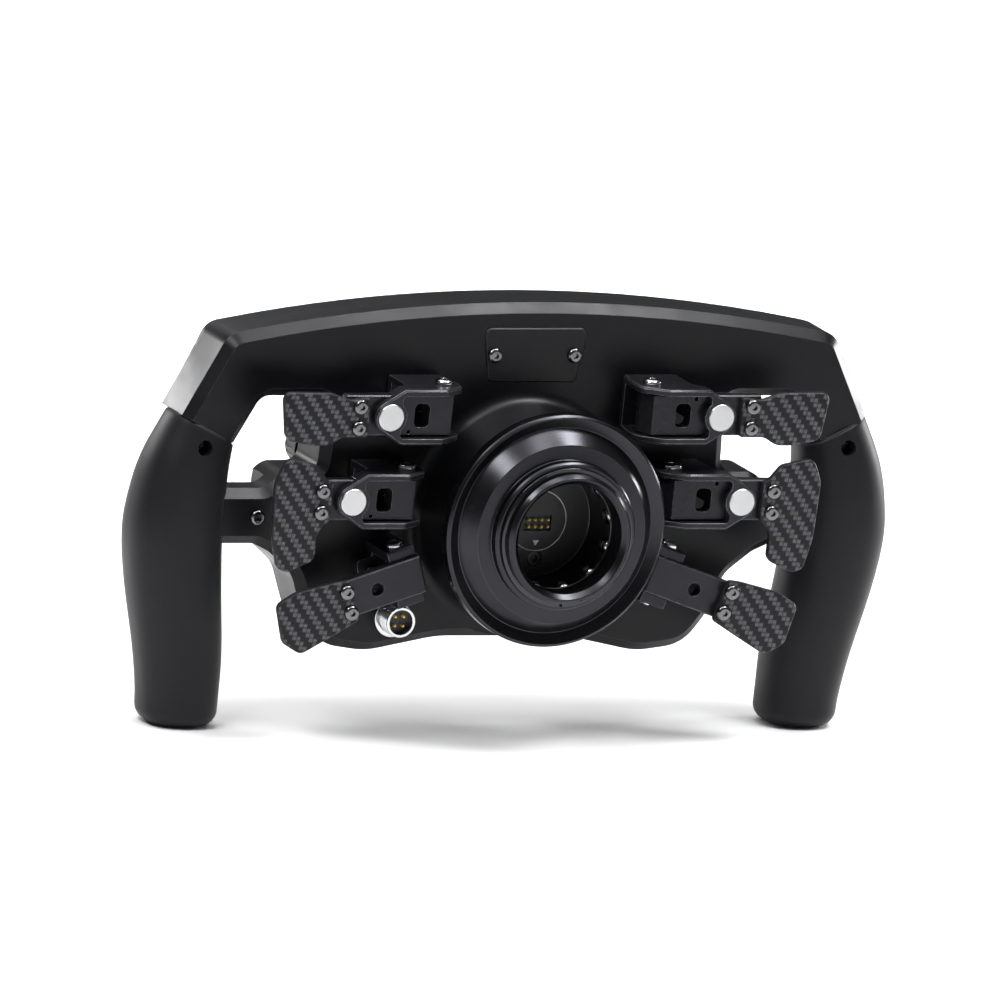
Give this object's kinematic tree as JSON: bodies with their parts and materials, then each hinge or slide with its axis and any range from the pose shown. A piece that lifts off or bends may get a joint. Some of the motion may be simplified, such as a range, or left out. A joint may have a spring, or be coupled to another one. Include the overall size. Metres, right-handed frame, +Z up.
{
  "type": "racing wheel",
  "caption": "Open-bottom simulator steering wheel with moulded grips, magnetic shift paddles, analogue paddles, front controls and a ball-locked quick-release hub",
  "frame": {"origin": "On the axis of the quick-release bore, 2 mm inside the rim of its mouth", "axes": "+Y points out of the bore toward the wheel base, +Z up, +X to the driver's right with the driver at -Y"},
  "size_m": [0.3003, 0.0855, 0.1585],
  "materials": {
    "housing_metal": "black anodised, satin",
    "carbon": "carbon fibre twill, satin resin",
    "grip_rubber": "black moulded rubber, satin",
    "cover_metal": "black, fine satin",
    "dark_steel": "black oxide, semi-gloss",
    "bright_steel": "stainless, bright",
    "hub_metal": "black anodised, turned, semi-gloss",
    "ring_steel": "spring steel, bright",
    "ball_steel": "polished bearing steel",
    "black_plastic": "fine matt",
    "gold": "gold plated, bright",
    "plated_brass": "nickel plated",
    "bracket_metal": "black anodised, satin, bright cut edges",
    "magnet": "nickel plated magnet",
    "board": "green solder mask",
    "cap_red": "moulded, satin",
    "cap_blue": "moulded, satin",
    "cap_green": "moulded, satin",
    "cap_yellow": "moulded, satin",
    "knob_plastic": "matt, ribbed"
  },
  "bodies": {
    "wheel": {"rear_housing": "housing_metal", "front_plate": "carbon", "left_grip": "grip_rubber", "right_grip": "grip_rubber", "service_cover": "cover_metal", "housing_screws": "dark_steel", "hub_sleeve": "hub_metal", "retaining_ring": "ring_steel", "hub_bolts": "dark_steel", "contact_screws": "dark_steel", "locking_balls": "ball_steel", "contact_plate": "black_plastic", "collar_spring": "ball_steel", "connector_shell": "plated_brass", "connector_nut": "plated_brass", "connector_insert": "black_plastic", "connector_pins": "gold", "right_upper_bracket": "bracket_metal", "right_middle_bracket": "bracket_metal", "right_clutch_base": "bracket_metal", "left_upper_bracket": "bracket_metal", "left_middle_bracket": "bracket_metal", "left_clutch_base": "bracket_metal", "bracket_magnets": "magnet", "pivot_pins": "bright_steel", "shifter_switches": "black_plastic", "button_bezels": "bracket_metal", "circuit_board": "board"},
    "collar": {"locking_collar": "hub_metal"},
    "contacts": {"contact_pins": "gold"},
    "right_upper_shifter": {"right_upper_lever": "bracket_metal", "right_upper_paddle": "carbon", "right_upper_paddle_screws": "bright_steel"},
    "right_middle_shifter": {"right_middle_lever": "bracket_metal", "right_middle_paddle": "carbon", "right_middle_paddle_screws": "bright_steel"},
    "right_clutch": {"right_clutch_lever": "bracket_metal", "right_clutch_paddle": "carbon", "right_clutch_paddle_screws": "bright_steel"},
    "right_button_1_cap": {"right_button_1": "cap_red"},
    "right_button_2_cap": {"right_button_2": "cap_blue"},
    "right_button_3_cap": {"right_button_3": "cap_green"},
    "right_button_4_cap": {"right_button_4": "cap_yellow"},
    "right_thumb_dial": {"right_thumb_knob": "knob_plastic"},
    "right_rotary_dial": {"right_rotary_knob": "knob_plastic"},
    "left_upper_shifter": {"left_upper_lever": "bracket_metal", "left_upper_paddle": "carbon", "left_upper_paddle_screws": "bright_steel"},
    "left_middle_shifter": {"left_middle_lever": "bracket_metal", "left_middle_paddle": "carbon", "left_middle_paddle_screws": "bright_steel"},
    "left_clutch": {"left_clutch_lever": "bracket_metal", "left_clutch_paddle": "carbon", "left_clutch_paddle_screws": "bright_steel"},
    "left_button_1_cap": {"left_button_1": "cap_red"},
    "left_button_2_cap": {"left_button_2": "cap_blue"},
    "left_button_3_cap": {"left_button_3": "cap_green"},
    "left_button_4_cap": {"left_button_4": "cap_yellow"},
    "left_thumb_dial": {"left_thumb_knob": "knob_plastic"},
    "left_rotary_dial": {"left_rotary_knob": "knob_plastic"}
  },
  "joints": [
    {"name": "collar_slide", "type": "slide", "parent": "wheel", "child": "collar", "axis": [0, -1, 0], "range_m": [0, 0.0045], "stiffness_N_per_m": 1500, "springref_m": -0.004, "deforming": ["collar_spring"]},
    {"name": "contact_press", "type": "slide", "parent": "wheel", "child": "contacts", "axis": [0, -1, 0], "range_m": [0, 0.001], "stiffness_N_per_m": 800, "springref_m": -0.0006},
    {"name": "right_upper_pull", "type": "hinge", "parent": "wheel", "child": "right_upper_shifter", "pos_m": [0.0415, -0.0314, 0.03995], "axis": [0, 0, -1], "range_deg": [0, 4.5], "stiffness_Nm_per_rad": 3, "springref_deg": -6.88},
    {"name": "right_middle_pull", "type": "hinge", "parent": "wheel", "child": "right_middle_shifter", "pos_m": [0.0531, -0.0314, 0.00845], "axis": [0, 0, -1], "range_deg": [0, 4.5], "stiffness_Nm_per_rad": 3, "springref_deg": -6.88},
    {"name": "right_clutch_pull", "type": "hinge", "parent": "wheel", "child": "right_clutch", "pos_m": [0.051, -0.0314, -0.0206], "axis": [-0.3156, 0, -0.9489], "range_deg": [0, 18], "stiffness_Nm_per_rad": 0.8, "springref_deg": -11.46},
    {"name": "right_button_1_press", "type": "slide", "parent": "wheel", "child": "right_button_1_cap", "axis": [0, 1, 0], "range_m": [0, 0.0012], "stiffness_N_per_m": 600, "springref_m": -0.0006},
    {"name": "right_button_2_press", "type": "slide", "parent": "wheel", "child": "right_button_2_cap", "axis": [0, 1, 0], "range_m": [0, 0.0012], "stiffness_N_per_m": 600, "springref_m": -0.0006},
    {"name": "right_button_3_press", "type": "slide", "parent": "wheel", "child": "right_button_3_cap", "axis": [0, 1, 0], "range_m": [0, 0.0012], "stiffness_N_per_m": 600, "springref_m": -0.0006},
    {"name": "right_button_4_press", "type": "slide", "parent": "wheel", "child": "right_button_4_cap", "axis": [0, 1, 0], "range_m": [0, 0.0012], "stiffness_N_per_m": 600, "springref_m": -0.0006},
    {"name": "right_thumb_turn", "type": "hinge", "parent": "wheel", "child": "right_thumb_dial", "pos_m": [0.0705, -0.0705, 0.016], "axis": [0, -1, 0], "continuous": true},
    {"name": "right_rotary_turn", "type": "hinge", "parent": "wheel", "child": "right_rotary_dial", "pos_m": [0.034, -0.0705, -0.032], "axis": [0, -1, 0], "continuous": true},
    {"name": "left_upper_pull", "type": "hinge", "parent": "wheel", "child": "left_upper_shifter", "pos_m": [-0.0415, -0.0314, 0.03995], "axis": [0, 0, 1], "range_deg": [0, 4.5], "stiffness_Nm_per_rad": 3, "springref_deg": -6.88},
    {"name": "left_middle_pull", "type": "hinge", "parent": "wheel", "child": "left_middle_shifter", "pos_m": [-0.0531, -0.0314, 0.00845], "axis": [0, 0, 1], "range_deg": [0, 4.5], "stiffness_Nm_per_rad": 3, "springref_deg": -6.88},
    {"name": "left_clutch_pull", "type": "hinge", "parent": "wheel", "child": "left_clutch", "pos_m": [-0.051, -0.0314, -0.0206], "axis": [-0.3156, 0, 0.9489], "range_deg": [0, 18], "stiffness_Nm_per_rad": 0.8, "springref_deg": -11.46},
    {"name": "left_button_1_press", "type": "slide", "parent": "wheel", "child": "left_button_1_cap", "axis": [0, 1, 0], "range_m": [0, 0.0012], "stiffness_N_per_m": 600, "springref_m": -0.0006},
    {"name": "left_button_2_press", "type": "slide", "parent": "wheel", "child": "left_button_2_cap", "axis": [0, 1, 0], "range_m": [0, 0.0012], "stiffness_N_per_m": 600, "springref_m": -0.0006},
    {"name": "left_button_3_press", "type": "slide", "parent": "wheel", "child": "left_button_3_cap", "axis": [0, 1, 0], "range_m": [0, 0.0012], "stiffness_N_per_m": 600, "springref_m": -0.0006},
    {"name": "left_button_4_press", "type": "slide", "parent": "wheel", "child": "left_button_4_cap", "axis": [0, 1, 0], "range_m": [0, 0.0012], "stiffness_N_per_m": 600, "springref_m": -0.0006},
    {"name": "left_thumb_turn", "type": "hinge", "parent": "wheel", "child": "left_thumb_dial", "pos_m": [-0.0705, -0.0705, 0.016], "axis": [0, -1, 0], "continuous": true},
    {"name": "left_rotary_turn", "type": "hinge", "parent": "wheel", "child": "left_rotary_dial", "pos_m": [-0.034, -0.0705, -0.032], "axis": [0, -1, 0], "continuous": true}
  ]
}
